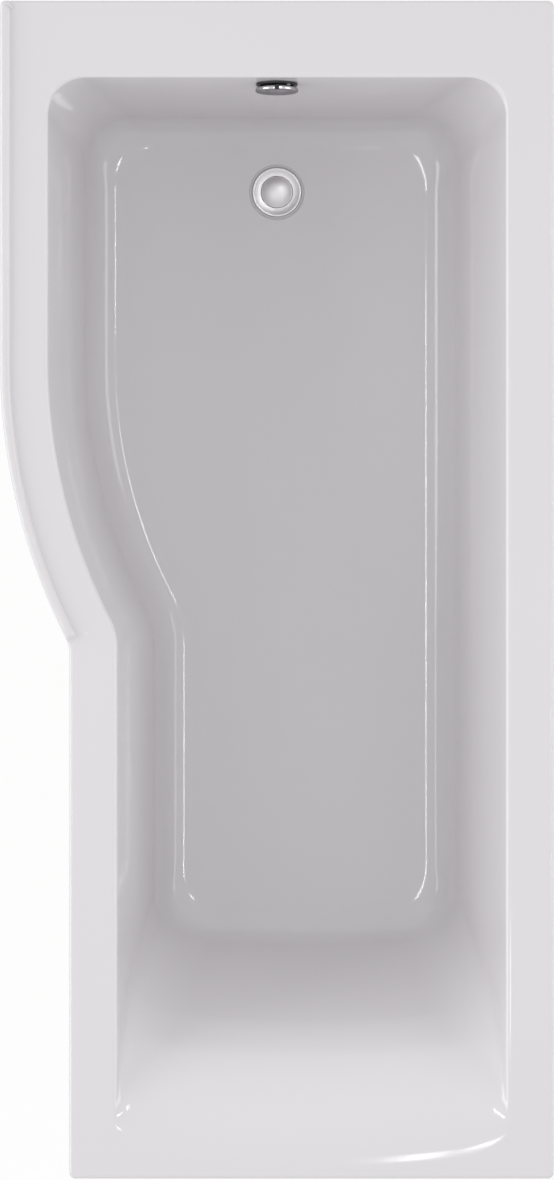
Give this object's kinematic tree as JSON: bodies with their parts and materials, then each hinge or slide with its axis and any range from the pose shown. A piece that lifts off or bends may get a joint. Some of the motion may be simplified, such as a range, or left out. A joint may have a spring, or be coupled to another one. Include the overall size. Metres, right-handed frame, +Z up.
{
  "type": "p shaped shower bath",
  "caption": "Left-bulging P-shaped acrylic shower bath with a water-retaining lip, turn-knob overflow, pop-up waste, timber-stiffened rim and an adjustable steel leg set.",
  "frame": {"origin": "on the floor under the middle of the bath's outline", "axes": "+Z up, +Y along the bath towards the waste and overflow end, +X towards the straight wall side, -X towards the bulging shower side"},
  "size_m": [0.8, 1.7, 0.57],
  "materials": {
    "acrylic": "gloss white",
    "laminate": "sprayed chopped glass fibre in resin",
    "chipboard": "raw chipboard under resin",
    "timber": "planed softwood",
    "zinc_steel": "zinc plated",
    "bright_steel": "bright drawn",
    "black_plastic": "satin",
    "chrome": "polished",
    "brass": "turned",
    "seal_rubber": "matt",
    "white_plastic": "moulded, satin",
    "grey_plastic": "moulded, satin"
  },
  "bodies": {
    "bath": {"tub_shell": "acrylic", "glass_laminate": "laminate", "base_board": "chipboard", "batten_wall_side": "timber", "batten_tap_end": "timber", "batten_head_end": "timber", "batten_front_wide": "timber", "batten_front_bow": "timber", "batten_front_narrow": "timber", "leg_bar_head": "zinc_steel", "leg_bar_tap": "zinc_steel", "centre_foot_bracket": "zinc_steel", "wall_bracket_head": "zinc_steel", "wall_bracket_tap": "zinc_steel", "leg_screws": "zinc_steel", "bracket_screws": "zinc_steel", "bezel_screws": "zinc_steel", "foot_nuts_1": "zinc_steel", "foot_nuts_2": "zinc_steel", "foot_nuts_3": "zinc_steel", "foot_nuts_4": "zinc_steel", "foot_nuts_5": "zinc_steel", "lifter_shaft": "bright_steel", "cable_gland_waste": "black_plastic", "cable_gland_overflow": "black_plastic", "cable_sheath": "black_plastic", "overflow_bezel": "black_plastic", "waste_flange": "chrome", "flange_seal": "seal_rubber", "waste_seal": "seal_rubber", "overflow_seal": "seal_rubber", "waste_body": "white_plastic", "overflow_elbow": "white_plastic", "hose_nut_top": "white_plastic", "hose_nut_bottom": "white_plastic", "overflow_hose": "grey_plastic"},
    "plug": {"plug_dome": "chrome", "plug_seal": "seal_rubber", "plug_stem": "brass"},
    "lifter": {"lifter_lever": "white_plastic"},
    "knob": {"overflow_knob": "chrome", "knob_grub_screw": "zinc_steel", "knob_spindle": "brass", "spindle_cam": "white_plastic"},
    "cable_end_waste": {"cable_tip_waste": "bright_steel"},
    "cable_end_overflow": {"cable_tip_overflow": "bright_steel"},
    "foot_1": {"foot_pad_1": "black_plastic", "foot_stud_1": "zinc_steel"},
    "foot_2": {"foot_pad_2": "black_plastic", "foot_stud_2": "zinc_steel"},
    "foot_3": {"foot_pad_3": "black_plastic", "foot_stud_3": "zinc_steel"},
    "foot_4": {"foot_pad_4": "black_plastic", "foot_stud_4": "zinc_steel"},
    "foot_5": {"foot_pad_5": "black_plastic", "foot_stud_5": "zinc_steel"}
  },
  "joints": [
    {"name": "knob_turn", "type": "hinge", "parent": "bath", "child": "knob", "pos_m": [0, 0.73163, 0.502], "axis": [0, -0.9903, 0.1392], "range_deg": [0, 90]},
    {"name": "plug_lift", "type": "slide", "parent": "bath", "child": "plug", "axis": [0, 0, 1], "range_m": [0, 0.0088]},
    {"name": "lifter_turn", "type": "hinge", "parent": "bath", "child": "lifter", "pos_m": [0, 0.559, 0.1084], "axis": [1, 0, 0], "range_deg": [0, 23.08]},
    {"name": "cable_push_overflow", "type": "slide", "parent": "bath", "child": "cable_end_overflow", "axis": [1, 0, 0], "range_m": [0, 0.0034]},
    {"name": "cable_push_waste", "type": "slide", "parent": "bath", "child": "cable_end_waste", "axis": [0, 1, 0], "range_m": [0, 0.0034]},
    {"name": "foot_height_1", "type": "slide", "parent": "bath", "child": "foot_1", "axis": [0, 0, -1], "range_m": [-0.008, 0.025]},
    {"name": "foot_height_2", "type": "slide", "parent": "bath", "child": "foot_2", "axis": [0, 0, -1], "range_m": [-0.008, 0.025]},
    {"name": "foot_height_3", "type": "slide", "parent": "bath", "child": "foot_3", "axis": [0, 0, -1], "range_m": [-0.008, 0.025]},
    {"name": "foot_height_4", "type": "slide", "parent": "bath", "child": "foot_4", "axis": [0, 0, -1], "range_m": [-0.008, 0.025]},
    {"name": "foot_height_5", "type": "slide", "parent": "bath", "child": "foot_5", "axis": [0, 0, -1], "range_m": [-0.008, 0.025]}
  ],
  "couplings": [
    {"joint": "plug_lift", "follows": "knob_turn", "m_per_rad": 0.0056},
    {"joint": "lifter_turn", "follows": "knob_turn", "ratio": 0.25636},
    {"joint": "cable_push_overflow", "follows": "knob_turn", "m_per_rad": 0.00216},
    {"joint": "cable_push_waste", "follows": "knob_turn", "m_per_rad": 0.00216}
  ]
}
